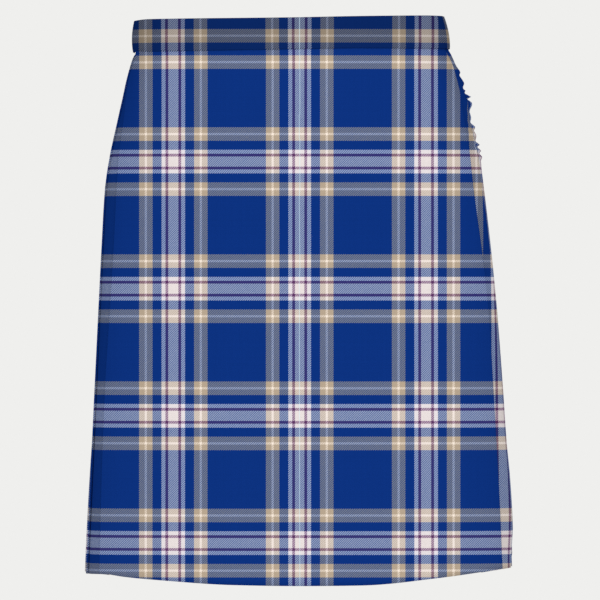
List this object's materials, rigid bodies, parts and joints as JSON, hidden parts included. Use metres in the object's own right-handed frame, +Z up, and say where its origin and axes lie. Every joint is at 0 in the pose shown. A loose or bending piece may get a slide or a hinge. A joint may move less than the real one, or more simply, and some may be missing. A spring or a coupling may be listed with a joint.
{
  "type": "kilt",
  "caption": "Knee-length wool tartan kilt: flat wrap-over front, knife pleats round the sides and back, plain waistband, filled out as when worn.",
  "frame": {"origin": "middle of the waist, half way up the waistband", "axes": "+Z up; the front faces -Y; +X is the wearer's left"},
  "size_m": [0.4582, 0.333, 0.6094],
  "materials": {
    "kilt_worsted": "twill-woven worsted wool in a blue, tan and white tartan, dry and matt",
    "band_worsted": "the same tartan worsted, a little darker",
    "nickel": "plain nickel-plated wire and strip"
  },
  "bodies": {
    "root": {"outer_apron": "kilt_worsted", "pleated_back": "kilt_worsted", "under_apron": "kilt_worsted", "waistband": "band_worsted", "outer_hook": "nickel", "outer_bar": "nickel", "inner_hook": "nickel", "inner_bar": "nickel"}
  },
  "joints": []
}
